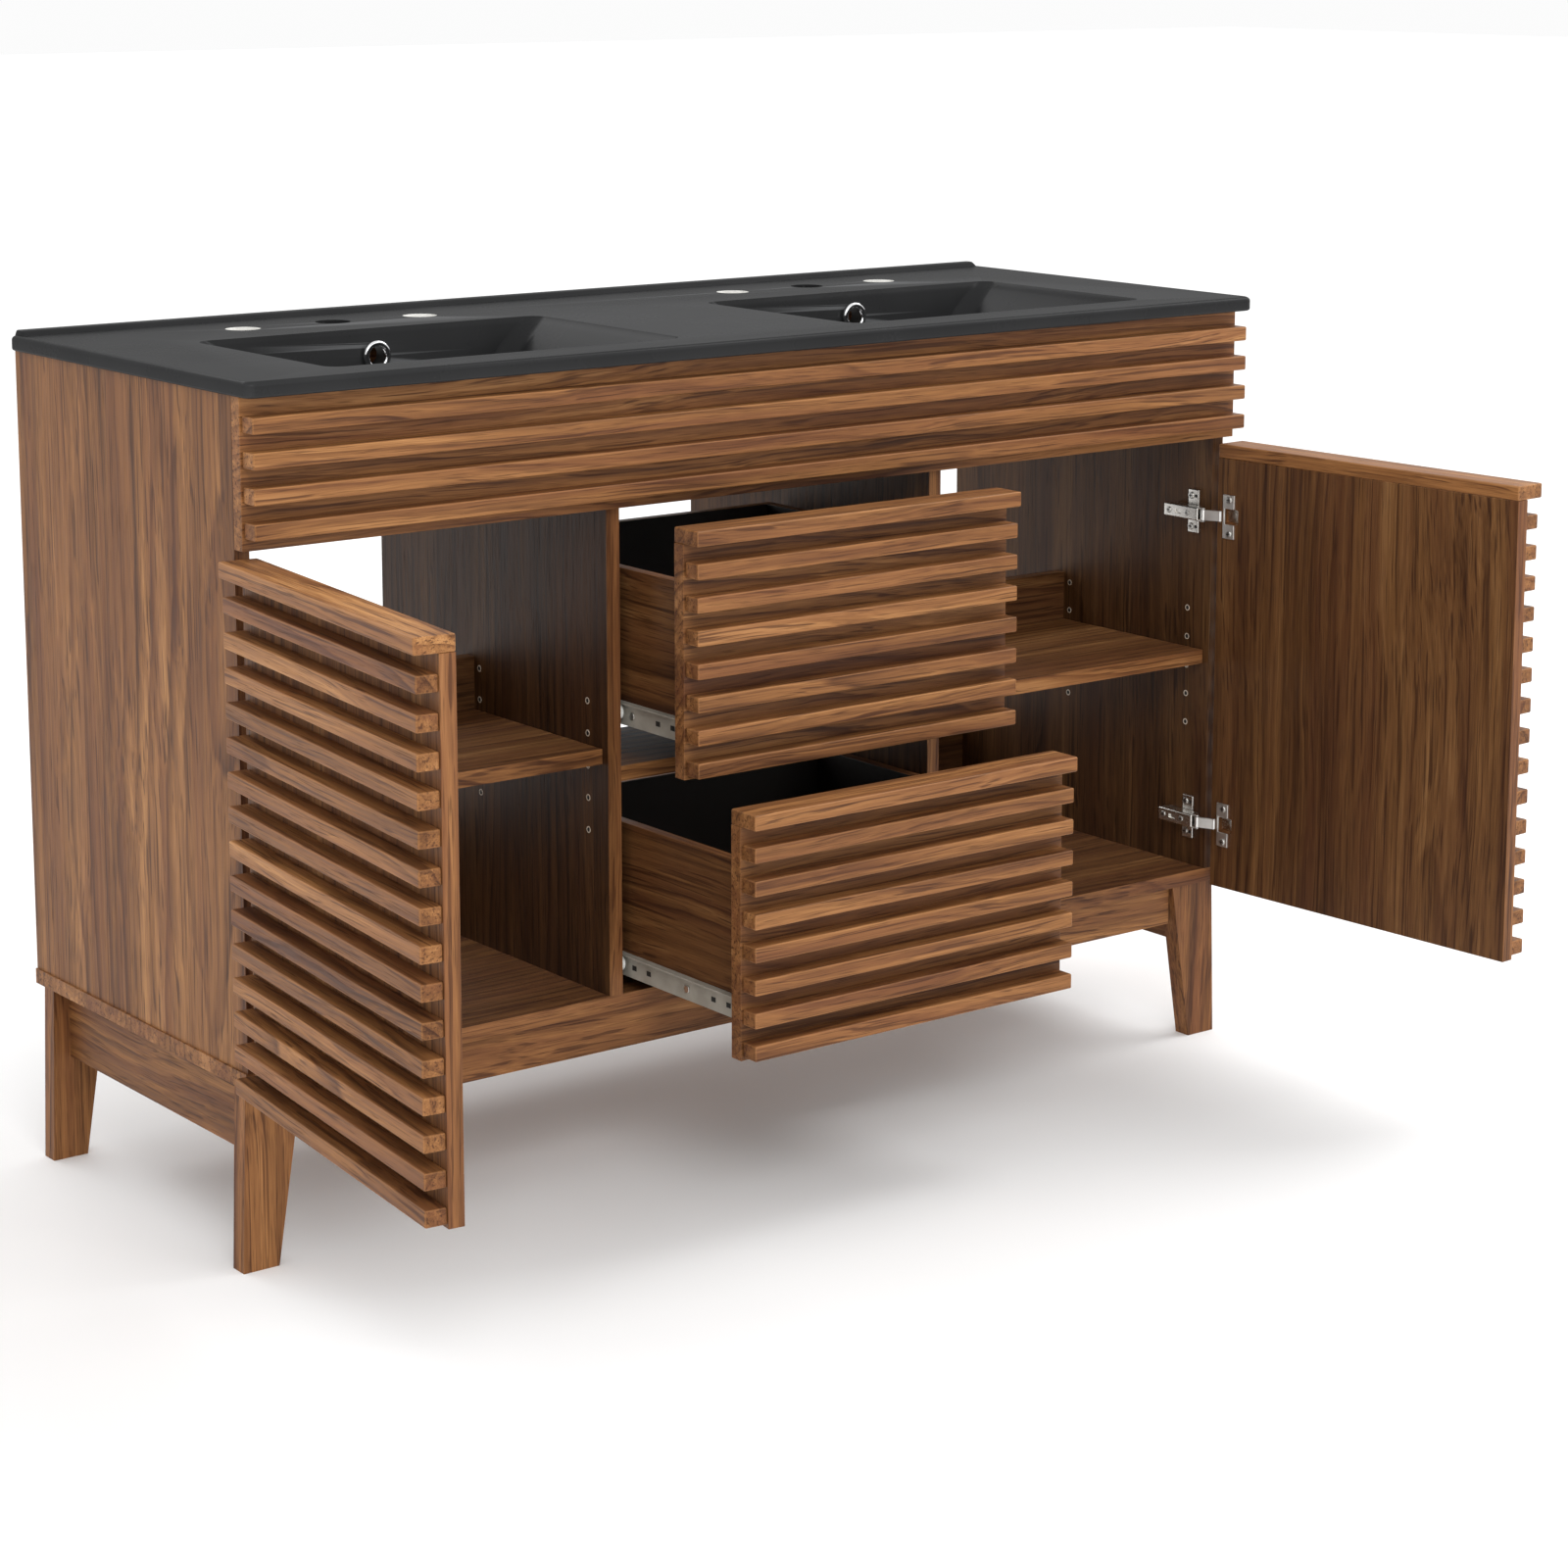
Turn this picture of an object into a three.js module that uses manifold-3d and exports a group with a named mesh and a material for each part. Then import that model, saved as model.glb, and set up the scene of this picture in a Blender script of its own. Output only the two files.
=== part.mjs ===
// Double-basin bathroom vanity: slatted walnut-effect cabinet on tapered legs, two hinged doors,
// two roller-slide drawers and a glazed ceramic double sink top. Millimetres, +Z up, front faces -Y.
import * as THREE from 'three';
import { mergeVertices } from 'three/addons/utils/BufferGeometryUtils.js';
import Module from 'manifold-3d';

const wasm = await Module();
wasm.setup();

// ---- overall ----
const OX = 10.3, OY = -47.8;        // cabinet centre line and ceramic front edge, seen from the row origin
const T = 15;                       // board thickness
const TOP_Z = 825, TOP_UNDER = 810, TOP_HX = 609.6, TOP_D = 470;
const CX = 605;                     // outer half width of the carcass
const CF = 37.5, CB = 466;          // carcass front and back
const FLOOR_Z = 175;                // underside of the bottom panel
const DIV_O = 206.7, DIV_I = 191.7; // divider faces from the centre line
const DIV_TOP = 690;

// ---- slatted fronts ----
const PITCH = 31.5, SLAT_H = 15, SLAT_D = 20, SLAT_IN = 2;
const FRONT_TOP = 665;              // top of the doors and of the upper drawer front
const FACE_Y = 20.5, BACK_Y = 35.5; // door and drawer backing board when closed
const CAP_Y = -2;
const DOOR_OUT = 603, DOOR_IN = 201, DRW_X = 198;
const FRONT_BOTTOM = 174, UPPER_BOTTOM = 425.5;

// ---- doors ----
const AXIS_X = 599.8, AXIS_Y = 24.3;
const LEFT_OPEN = 96.5, RIGHT_OPEN = 93.5;
const HINGE_Z = [587, 245];
const CUP_X = 580.5, CUP_R = 17.5, CUP_DEPTH = 11.5;
const LINK_X = 576, LINK_Y = 36, LINK_L = 19.5, LINK_CLOSED = -24, LINK_RATIO = 0.44; // angle of the right-hand link, door closed

// ---- drawers ----
const UPPER_OUT = 96, LOWER_OUT = 184;
const BOX_X = 179, SIDE_T = 12, BOX_L = 350;
const UPPER_BOX_Z = 456, LOWER_BOX_Z = 205, BOX_H = 152;
const SLIDE_L = 350;

// ---- sink ----
const BOWL_CX = 300, BOWL_HX = 196, BOWL_Y0 = 50, BOWL_Y1 = 308, BOWL_FLOOR = 712;
const OVERFLOW_Z = 796;
const TAP_Y = 381, TAP_R = 17.5, TAP_STEP = 101.6;

const mats = {
  walnut: new THREE.MeshStandardMaterial({ name: 'walnut', color: 0x7a4f33, roughness: 0.45, metalness: 0 }),
  walnutDark: new THREE.MeshStandardMaterial({ name: 'walnut_dark', color: 0x5d3a26, roughness: 0.5, metalness: 0 }),
  drawer: new THREE.MeshStandardMaterial({ name: 'drawer_board', color: 0x6b452e, roughness: 0.5, metalness: 0 }),
  lining: new THREE.MeshStandardMaterial({ name: 'drawer_lining', color: 0x1b1614, roughness: 0.6, metalness: 0 }),
  ceramic: new THREE.MeshStandardMaterial({ name: 'ceramic', color: 0x17191b, roughness: 0.22, metalness: 0 }),
  chrome: new THREE.MeshStandardMaterial({ name: 'chrome', color: 0xd8dadc, roughness: 0.12, metalness: 1 }),
  nickel: new THREE.MeshStandardMaterial({ name: 'nickel', color: 0xb9b8b3, roughness: 0.28, metalness: 1 }),
  slide: new THREE.MeshStandardMaterial({ name: 'slide_enamel', color: 0xd9dcdc, roughness: 0.4, metalness: 0 }),
  roller: new THREE.MeshStandardMaterial({ name: 'roller', color: 0xf1f1ee, roughness: 0.45, metalness: 0 })
};

// ---- solids ----
function solid(g) {
  const c = g.clone();
  for (const k of Object.keys(c.attributes)) if (k !== 'position') c.deleteAttribute(k);
  const m = mergeVertices(c, 1e-4);
  const mesh = new wasm.Mesh({ numProp: 3, vertProperties: new Float32Array(m.attributes.position.array), triVerts: new Uint32Array(m.index.array) });
  return new wasm.Manifold(mesh);
}
function geometry(s) {
  const m = s.getMesh();
  const g = new THREE.BufferGeometry();
  g.setAttribute('position', new THREE.BufferAttribute(new Float32Array(m.vertProperties), 3));
  g.setIndex(new THREE.BufferAttribute(new Uint32Array(m.triVerts), 1));
  return g;
}
function box(x0, x1, y0, y1, z0, z1) {
  const a = Math.min(x0, x1), b = Math.max(x0, x1);
  return new THREE.BoxGeometry(b - a, y1 - y0, z1 - z0).translate((a + b) / 2, (y0 + y1) / 2, (z0 + z1) / 2);
}
function cyl(r, len, axis, x, y, z, seg = 32) {
  const g = new THREE.CylinderGeometry(r, r, len, seg);
  if (axis === 'z') g.rotateX(Math.PI / 2);
  if (axis === 'x') g.rotateZ(Math.PI / 2);
  return g.translate(x, y, z);
}
function join(list) { return geometry(list.map(solid).reduce((a, b) => a.add(b))); }
function cut(base, tools) { return geometry(tools.map(solid).reduce((a, b) => a.subtract(b), solid(base))); }
function flipX(g) {
  const c = g.index ? g.toNonIndexed() : g.clone();
  for (const k of Object.keys(c.attributes)) if (k !== 'position') c.deleteAttribute(k);
  const p = c.attributes.position.array;
  for (let i = 0; i < p.length; i += 3) p[i] = -p[i];
  for (let i = 0; i < p.length; i += 9) for (let k = 0; k < 3; k++) { const t = p[i + 3 + k]; p[i + 3 + k] = p[i + 6 + k]; p[i + 6 + k] = t; }
  return mergeVertices(c, 1e-4);
}
// rounded rectangle ring at one height, counter-clockwise from above
function ring(x0, x1, y0, y1, r, z, n = 5) {
  const pts = [];
  const corners = [[x1 - r, y1 - r, 0], [x0 + r, y1 - r, 90], [x0 + r, y0 + r, 180], [x1 - r, y0 + r, 270]];
  for (const [cx, cy, a0] of corners) for (let i = 0; i <= n; i++) {
    const a = (a0 + 90 * i / n) * Math.PI / 180;
    pts.push([cx + r * Math.cos(a), cy + r * Math.sin(a), z]);
  }
  return pts;
}
// closed solid through rings listed from bottom to top
function loft(rings) {
  const n = rings[0].length, pos = [], idx = [];
  for (const r of rings) for (const p of r) pos.push(...p);
  for (let k = 0; k < rings.length - 1; k++) for (let i = 0; i < n; i++) {
    const j = (i + 1) % n, a = k * n + i, b = k * n + j, c = a + n, d = b + n;
    idx.push(a, b, d, a, d, c);
  }
  const mid = r => r.reduce((s, p) => [s[0] + p[0] / n, s[1] + p[1] / n, s[2] + p[2] / n], [0, 0, 0]);
  const lo = pos.length / 3; pos.push(...mid(rings[0]));
  const hi = pos.length / 3; pos.push(...mid(rings[rings.length - 1]));
  const last = (rings.length - 1) * n;
  for (let i = 0; i < n; i++) { const j = (i + 1) % n; idx.push(lo, j, i); idx.push(hi, last + i, last + j); }
  const g = new THREE.BufferGeometry();
  g.setAttribute('position', new THREE.BufferAttribute(new Float32Array(pos), 3));
  g.setIndex(idx);
  return g;
}

const vanity = new THREE.Group();
vanity.position.set(OX, OY, 0);
function put(parent, name, g, mat) {
  const c = g.index ? g.clone() : g;
  for (const k of Object.keys(c.attributes)) if (k !== 'position') c.deleteAttribute(k);
  c.computeVertexNormals();
  const m = new THREE.Mesh(c, mat);
  m.name = name;
  parent.add(m);
  return m;
}

// ---- ceramic double sink top ----
{
  const slab = loft([
    ring(-TOP_HX + 1.5, TOP_HX - 1.5, 1.5, TOP_D - 1.5, 8, TOP_UNDER),
    ring(-TOP_HX, TOP_HX, 0, TOP_D, 9, TOP_UNDER + 1.5),
    ring(-TOP_HX, TOP_HX, 0, TOP_D, 9, TOP_Z - 4),
    ring(-TOP_HX + 1.2, TOP_HX - 1.2, 1.2, TOP_D - 1.2, 8, TOP_Z - 1.2),
    ring(-TOP_HX + 4, TOP_HX - 4, 4, TOP_D - 4, 6, TOP_Z)
  ]);
  let s = solid(slab);
  const lip = loft([
    ring(-TOP_HX + 5, TOP_HX - 5, TOP_D - 20, TOP_D - 0.6, 4, TOP_Z - 3),
    ring(-TOP_HX + 5, TOP_HX - 5, TOP_D - 16, TOP_D - 0.6, 4, TOP_Z + 3),
    ring(-TOP_HX + 8, TOP_HX - 8, TOP_D - 13, TOP_D - 3.5, 3, TOP_Z + 5)
  ]);
  s = s.add(solid(lip));
  for (const c of [-BOWL_CX, BOWL_CX]) {
    const x0 = c - BOWL_HX, x1 = c + BOWL_HX;
    s = s.add(solid(loft([
      ring(x0 + 116, x1 - 116, BOWL_Y0 + 52, BOWL_Y1 - 52, 14, BOWL_FLOOR - 12),
      ring(x0 + 90, x1 - 90, BOWL_Y0 + 33, BOWL_Y1 - 33, 22, BOWL_FLOOR - 6),
      ring(x0 + 66, x1 - 66, BOWL_Y0 + 16, BOWL_Y1 - 15, 26, BOWL_FLOOR + 16),
      ring(x0 + 46, x1 - 46, BOWL_Y0 + 6, BOWL_Y1 - 5, 26, BOWL_FLOOR + 48),
      ring(x0 + 20, x1 - 20, BOWL_Y0 - 1, BOWL_Y1 + 1, 26, BOWL_FLOOR + 80),
      ring(x0 - 2, x1 + 2, BOWL_Y0 - 5, BOWL_Y1 + 5, 24, TOP_UNDER + 4)
    ])));
  }
  for (const c of [-BOWL_CX, BOWL_CX]) {
    const x0 = c - BOWL_HX, x1 = c + BOWL_HX;
    s = s.subtract(solid(loft([
      ring(x0 + 122, x1 - 122, BOWL_Y0 + 58, BOWL_Y1 - 58, 12, BOWL_FLOOR),
      ring(x0 + 100, x1 - 100, BOWL_Y0 + 42, BOWL_Y1 - 42, 18, BOWL_FLOOR + 5),
      ring(x0 + 78, x1 - 78, BOWL_Y0 + 26, BOWL_Y1 - 24, 22, BOWL_FLOOR + 24),
      ring(x0 + 58, x1 - 58, BOWL_Y0 + 15, BOWL_Y1 - 14, 22, BOWL_FLOOR + 53),
      ring(x0 + 33, x1 - 33, BOWL_Y0 + 8.5, BOWL_Y1 - 8, 20, BOWL_FLOOR + 85),
      ring(x0 + 6, x1 - 6, BOWL_Y0 + 3, BOWL_Y1 - 3, 17, TOP_Z - 4.5),
      ring(x0 + 2.5, x1 - 2.5, BOWL_Y0 + 1.5, BOWL_Y1 - 1.5, 16, TOP_Z - 1.5),
      ring(x0, x1, BOWL_Y0, BOWL_Y1, 15, TOP_Z),
      ring(x0, x1, BOWL_Y0, BOWL_Y1, 15, TOP_Z + 10)
    ])));
    s = s.subtract(solid(cyl(22.5, 40, 'z', c, (BOWL_Y0 + BOWL_Y1) / 2, BOWL_FLOOR, 32)));
    s = s.subtract(solid(cyl(12.6, 40, 'y', c, BOWL_Y1 + 2, OVERFLOW_Z, 28)));
    for (const k of [-1, 0, 1]) s = s.subtract(solid(cyl(TAP_R, 40, 'z', c + k * TAP_STEP, TAP_Y, TOP_Z - 8, 32)));
  }
  put(vanity, 'sink_top', geometry(s), mats.ceramic);
  for (const [name, c] of [['left_overflow_ring', -BOWL_CX], ['right_overflow_ring', BOWL_CX]]) {
    const g = cut(join([cyl(12.3, 14.8, 'y', c, BOWL_Y1 - 5.1, OVERFLOW_Z, 28), cyl(14.6, 1.6, 'y', c, BOWL_Y1 - 12.1, OVERFLOW_Z, 28)]), [cyl(9.6, 34, 'y', c, BOWL_Y1 - 2, OVERFLOW_Z, 28)]);
    put(vanity, name, g, mats.chrome);
  }
}

// ---- carcass ----
const RAIL_Y = 275; // front face of the rails that stand behind the shelves
const walnutBox = (name, ...b) => put(vanity, name, box(...b), mats.walnut);
walnutBox('left_side_panel', -CX, -CX + T, CF, CB, FLOOR_Z + T, TOP_UNDER);
walnutBox('right_side_panel', CX - T, CX, CF, CB, FLOOR_Z + T, TOP_UNDER);
walnutBox('bottom_panel', -CX - 2, CX + 2, CF, CB, FLOOR_Z, FLOOR_Z + T);
walnutBox('left_divider', -DIV_O, -DIV_I, CF, CB - T, FLOOR_Z + T, DIV_TOP);
walnutBox('right_divider', DIV_I, DIV_O, CF, CB - T, FLOOR_Z + T, DIV_TOP);
walnutBox('left_shelf', -CX + T + 1, -DIV_O - 1, 46, RAIL_Y - 1, 420, 435);
walnutBox('right_shelf', DIV_O + 1, CX - T - 1, 46, RAIL_Y - 1, 420, 435);
walnutBox('left_back_rail', -CX + T, -DIV_O, RAIL_Y, RAIL_Y + T, 420, 489);
walnutBox('lower_back_board', -CX + T, CX - T, CB - T, CB, FLOOR_Z + T, 290);
walnutBox('right_back_rail', DIV_O, CX - T, RAIL_Y, RAIL_Y + T, 420, 489);
walnutBox('top_back_rail', -CX + T, CX - T, CB - T, CB, 730, TOP_UNDER);
walnutBox('drawer_rail', -DIV_I, DIV_I, CF, CF + 140, 402.5, 417.5);

// fascia: backing board with four slats
{
  const list = [box(-CX, CX, 22.5, CF, 672, TOP_UNDER)];
  for (let k = 0; k < 4; k++) list.push(box(-CX + SLAT_IN, CX - SLAT_IN, 2.5, 23, 793 - k * PITCH - SLAT_H, 793 - k * PITCH));
  put(vanity, 'fascia_panel', join(list), mats.walnut);
}

// ---- base ----
{
  const legTop = [606, 547], legFoot = [612, 575], legT = 20;
  const leg = (y0) => {
    const s = new THREE.Shape();
    s.moveTo(legFoot[1], 0); s.lineTo(legFoot[0], 0); s.lineTo(legTop[0], FLOOR_Z); s.lineTo(legTop[1], FLOOR_Z); s.closePath();
    const g = new THREE.ExtrudeGeometry(s, { depth: legT, bevelEnabled: false });
    g.rotateX(Math.PI / 2);
    return g.translate(0, y0 + legT, 0);
  };
  put(vanity, 'right_front_leg', leg(42), mats.walnutDark);
  put(vanity, 'right_back_leg', leg(429), mats.walnutDark);
  put(vanity, 'left_front_leg', flipX(leg(42)), mats.walnutDark);
  put(vanity, 'left_back_leg', flipX(leg(429)), mats.walnutDark);
  put(vanity, 'left_base_rail', box(-590, -575, 62, 429, 104.5, FLOOR_Z), mats.walnutDark);
  put(vanity, 'right_base_rail', box(575, 590, 62, 429, 104.5, FLOOR_Z), mats.walnutDark);
  put(vanity, 'front_base_rail', box(-546.8, 546.8, 48, 63, 132, FLOOR_Z), mats.walnutDark);
  put(vanity, 'back_base_rail', box(-546.8, 546.8, 428, 443, 132, FLOOR_Z), mats.walnutDark);
}

// ---- slatted fronts ----
function front(x0, x1, top, count, bottom) {
  const list = [box(x0, x1, FACE_Y, BACK_Y, bottom, top - T + 0.5), box(x0, x1, CAP_Y, BACK_Y, top - T, top)];
  for (let k = 1; k <= count; k++) list.push(box(x0 + SLAT_IN, x1 - SLAT_IN, FACE_Y - SLAT_D, FACE_Y + 0.5, top - k * PITCH - SLAT_H, top - k * PITCH));
  return join(list);
}

// doors: built closed on the right-hand side, mirrored for the left
{
  const door = cut(front(DOOR_IN, DOOR_OUT, FRONT_TOP, 15, FRONT_BOTTOM), HINGE_Z.map(z => cyl(CUP_R + 0.15, 30, 'y', CUP_X, BACK_Y - CUP_DEPTH - 0.2 + 15, z, 40)));
  const cup = z => {
    let g = join([
      cyl(CUP_R, CUP_DEPTH, 'y', CUP_X, BACK_Y - CUP_DEPTH / 2, z, 40),
      box(577, 589.4, BACK_Y + 0.02, BACK_Y + 2.6, z - 24, z + 24),
      // the flange thins where it passes in front of the side panel's edge
      box(589, 593.6, BACK_Y + 0.02, BACK_Y + 1.6, z - 24, z + 24),
      box(577.2, 583.8, BACK_Y - 1, BACK_Y + 1, z - 17, z + 17)
    ]);
    return cut(g, [cyl(CUP_R - 1.2, 30, 'y', CUP_X, BACK_Y - CUP_DEPTH + 1.2 + 15, z, 40)]);
  };
  const arm = z => {
    const wing = (s) => box(583.5, 589.95, 54, 70, z + (s > 0 ? 6 : -24), z + (s > 0 ? 24 : -6));
    return join([
      box(583.5, 589.95, 48, 92, z - 7, z + 7), wing(1), wing(-1),
      box(572.6, 584, 42, 94, z - 7.8, z + 7.8),
      box(572.6, 579.4, 33.4, 43, z - 7.8, z - 6.2), box(572.6, 579.4, 33.4, 43, z + 6.2, z + 7.8),
      cyl(1.4, 13, 'z', LINK_X, LINK_Y, z, 24)
    ]);
  };
  const link = z => {
    const g = join([cyl(2.6, 11, 'z', 0, 0, 0, 24), box(0.5, LINK_L, -1.6, 1.6, -5.5, 5.5), cyl(1.9, 11, 'z', LINK_L, 0, 0, 16)]);
    return cut(g, [cyl(1.5, 20, 'z', 0, 0, 0, 24)]).translate(0, 0, z);
  };
  for (const side of ['left', 'right']) {
    const sg = side === 'left' ? -1 : 1;
    const open = side === 'left' ? LEFT_OPEN : RIGHT_OPEN;
    const pick = g => side === 'left' ? flipX(g) : g;
    const swing = new THREE.Group();
    swing.position.set(sg * AXIS_X, AXIS_Y, 0);
    swing.rotation.z = sg * open * Math.PI / 180;
    vanity.add(swing);
    const local = g => g.translate(-sg * AXIS_X, -AXIS_Y, 0);
    put(swing, side + '_door', local(pick(door.clone())), mats.walnut);
    HINGE_Z.forEach((z, i) => {
      const at = i ? 'lower' : 'upper';
      put(swing, `${side}_${at}_hinge_cup`, local(pick(cup(z))), mats.nickel);
      put(vanity, `${side}_${at}_hinge_arm`, pick(arm(z)), mats.nickel);
      const dir = LINK_CLOSED - open * LINK_RATIO; // as on the right-hand side
      const lg = new THREE.Group();
      lg.position.set(sg * LINK_X, LINK_Y, 0);
      lg.rotation.z = (sg > 0 ? dir : 180 - dir) * Math.PI / 180;
      vanity.add(lg);
      put(lg, `${side}_${at}_hinge_link`, link(z), mats.nickel);
    });
  }
}

// ---- drawers ----
for (const [name, out, zb, top, count, bottom] of [
  ['upper', UPPER_OUT, UPPER_BOX_Z, FRONT_TOP, 7, UPPER_BOTTOM],
  ['lower', LOWER_OUT, LOWER_BOX_Z, FRONT_TOP - 8 * PITCH, 7, FRONT_BOTTOM]
]) {
  const d = new THREE.Group();
  d.position.set(0, -out, 0);
  vanity.add(d);
  const zt = zb + BOX_H, y0 = BACK_Y, y1 = BACK_Y + BOX_L;
  put(d, `${name}_drawer_front`, front(-DRW_X, DRW_X, top, count, bottom), mats.walnut);
  put(d, `${name}_drawer_left_side`, box(-BOX_X, -BOX_X + SIDE_T, y0, y1, zb, zt), mats.drawer);
  put(d, `${name}_drawer_right_side`, box(BOX_X - SIDE_T, BOX_X, y0, y1, zb, zt), mats.drawer);
  put(d, `${name}_drawer_back`, box(-BOX_X + SIDE_T, BOX_X - SIDE_T, y1 - SIDE_T, y1, zb + 14, zt), mats.drawer);
  put(d, `${name}_drawer_bottom`, box(-BOX_X + SIDE_T, BOX_X - SIDE_T, y0, y1, zb + 8, zb + 13.5), mats.lining);
  // slide members: the drawer member wraps the lower edge of the box side, the cabinet member is a channel on the divider
  for (const sg of [-1, 1]) {
    const side = sg < 0 ? 'left' : 'right';
    const pick = g => sg < 0 ? flipX(g) : g;
    const member = join([
      box(BOX_X - SIDE_T, BOX_X + 1.4, y0 + 2, y1 - 2, zb - 1.3, zb - 0.05),
      box(BOX_X + 0.05, BOX_X + 1.4, y0 + 2, y1 - 2, zb - 1.3, zb + 22),
      box(BOX_X + 0.05, BOX_X + 7.5, y0 + 2, y1 - 2, zb + 20.7, zb + 22)
    ]);
    put(d, `${name}_${side}_drawer_slide`, pick(member), mats.slide);
    const c0 = CF + 3;
    const channel = join([
      box(DIV_I - 1.35, DIV_I - 0.05, c0, c0 + SLIDE_L, zb - 5, zb + 30),
      box(DIV_I - 9.2, DIV_I - 0.05, c0 + 30, c0 + SLIDE_L, zb - 5, zb - 3.7),
      box(DIV_I - 5, DIV_I - 0.05, c0 + 30, c0 + SLIDE_L, zb + 28.7, zb + 30),
      cyl(2, 9.5, 'x', DIV_I - 5.0, c0 + 12, zb + 12.1, 16)
    ]);
    put(vanity, `${name}_${side}_cabinet_slide`, pick(channel), mats.slide);
    const roller = cut(cyl(8, 5.4, 'x', DIV_I - 5.6, c0 + 12, zb + 12.1, 32), [cyl(2.1, 20, 'x', DIV_I - 5.6, c0 + 12, zb + 12.1, 16)]);
    put(vanity, `${name}_${side}_slide_roller`, pick(roller), mats.roller);
  }
}

export default vanity;
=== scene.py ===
"""Looks of the double-basin slatted vanity: walnut-effect boards, black glazed top, plated fittings."""

import math
import random

import bpy
import bmesh
from mathutils import Matrix, Vector


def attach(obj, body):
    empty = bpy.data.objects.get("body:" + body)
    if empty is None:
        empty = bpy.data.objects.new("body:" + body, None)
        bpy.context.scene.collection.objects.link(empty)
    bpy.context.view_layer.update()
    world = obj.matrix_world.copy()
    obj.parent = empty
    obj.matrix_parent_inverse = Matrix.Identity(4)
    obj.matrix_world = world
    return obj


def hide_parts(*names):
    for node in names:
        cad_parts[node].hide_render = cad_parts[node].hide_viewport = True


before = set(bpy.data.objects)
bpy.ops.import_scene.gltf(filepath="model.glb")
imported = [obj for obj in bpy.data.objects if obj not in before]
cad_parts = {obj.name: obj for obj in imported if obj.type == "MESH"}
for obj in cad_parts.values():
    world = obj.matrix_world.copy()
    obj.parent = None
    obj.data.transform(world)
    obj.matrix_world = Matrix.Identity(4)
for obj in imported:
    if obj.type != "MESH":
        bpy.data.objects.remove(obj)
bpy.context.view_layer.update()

# cabinet coordinates (mm, centre line at X 0, front edge of the ceramic at Y 0) to the row frame
OX, OY = 10.3, -47.8
PITCH, SLAT_H, SLAT_D, T = 31.5, 15.0, 20.0, 15.0
AXIS = (599.8, 24.3)
LEFT_OPEN, RIGHT_OPEN = 96.5, 93.5
UPPER_OUT, LOWER_OUT = 96.0, 184.0
HINGE_Z = (587.0, 245.0)


def at(dx=0.0, dy=0.0, dz=0.0):
    return Matrix.Translation(((OX + dx) / 1000, (OY + dy) / 1000, dz / 1000))


def door_matrix(side):
    sg = -1 if side == "left" else 1
    turn = math.radians(LEFT_OPEN if side == "left" else RIGHT_OPEN) * sg
    pivot = Matrix.Translation((sg * AXIS[0] / 1000, AXIS[1] / 1000, 0))
    return at() @ pivot @ Matrix.Rotation(turn, 4, "Z") @ pivot.inverted()


# ------------------------------------------------------------------ materials
class Nodes:
    def __init__(self, name):
        self.mat = bpy.data.materials.new(name)
        self.mat.use_nodes = True
        self.t = self.mat.node_tree
        self.t.nodes.clear()
        self.out = self.t.nodes.new("ShaderNodeOutputMaterial")
        self.bsdf = self.t.nodes.new("ShaderNodeBsdfPrincipled")
        self.link(self.bsdf.outputs[0], self.out.inputs[0])

    def link(self, a, b):
        self.t.links.new(a, b)

    def add(self, kind, **props):
        n = self.t.nodes.new(kind)
        for k, v in props.items():
            setattr(n, k, v)
        return n

    def feed(self, socket, value):
        if isinstance(value, bpy.types.NodeSocket):
            self.link(value, socket)
        else:
            socket.default_value = value

    def math(self, op, a, b=0.0, clamp=False):
        n = self.add("ShaderNodeMath", operation=op, use_clamp=clamp)
        self.feed(n.inputs[0], a)
        self.feed(n.inputs[1], b)
        return n.outputs[0]

    def vec(self, op, a, b):
        n = self.add("ShaderNodeVectorMath", operation=op)
        self.feed(n.inputs[0], a)
        self.feed(n.inputs[1], b)
        return n.outputs[0]

    def noise(self, vector, scale=1.0, detail=2.0, rough=0.5, distortion=0.0):
        n = self.add("ShaderNodeTexNoise")
        self.link(vector, n.inputs["Vector"])
        n.inputs["Scale"].default_value = scale
        n.inputs["Detail"].default_value = detail
        n.inputs["Roughness"].default_value = rough
        n.inputs["Distortion"].default_value = distortion
        return n.outputs[0]

    def ramp(self, fac, stops, mode="LINEAR"):
        n = self.add("ShaderNodeValToRGB")
        n.color_ramp.interpolation = mode
        while len(n.color_ramp.elements) > 1:
            n.color_ramp.elements.remove(n.color_ramp.elements[-1])
        for i, (pos, col) in enumerate(stops):
            e = n.color_ramp.elements[0] if i == 0 else n.color_ramp.elements.new(pos)
            e.position = pos
            e.color = (*col, 1) if len(col) == 3 else col
        self.link(fac, n.inputs[0])
        return n.outputs[0]

    def mix(self, fac, a, b, blend="MIX"):
        n = self.add("ShaderNodeMix", data_type="RGBA", blend_type=blend)
        self.feed(n.inputs[0], fac)
        for socket, v in ((n.inputs[6], a), (n.inputs[7], b)):
            self.feed(socket, v if isinstance(v, bpy.types.NodeSocket) else (*v, 1))
        return n.outputs[2]

    def maprange(self, v, a, b, c, d):
        n = self.add("ShaderNodeMapRange")
        self.link(v, n.inputs[0])
        for i, x in enumerate((a, b, c, d)):
            n.inputs[1 + i].default_value = x
        return n.outputs[0]

    def bump(self, height, strength, distance, normal=None):
        n = self.add("ShaderNodeBump")
        n.inputs["Strength"].default_value = strength
        n.inputs["Distance"].default_value = distance
        self.link(height, n.inputs["Height"])
        if normal is not None:
            self.link(normal, n.inputs["Normal"])
        return n.outputs[0]


def srgb(r, g, b):
    def f(c):
        c /= 255
        return c / 12.92 if c <= 0.04045 else ((c + 0.055) / 1.055) ** 2.4
    return (f(r), f(g), f(b))


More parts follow.
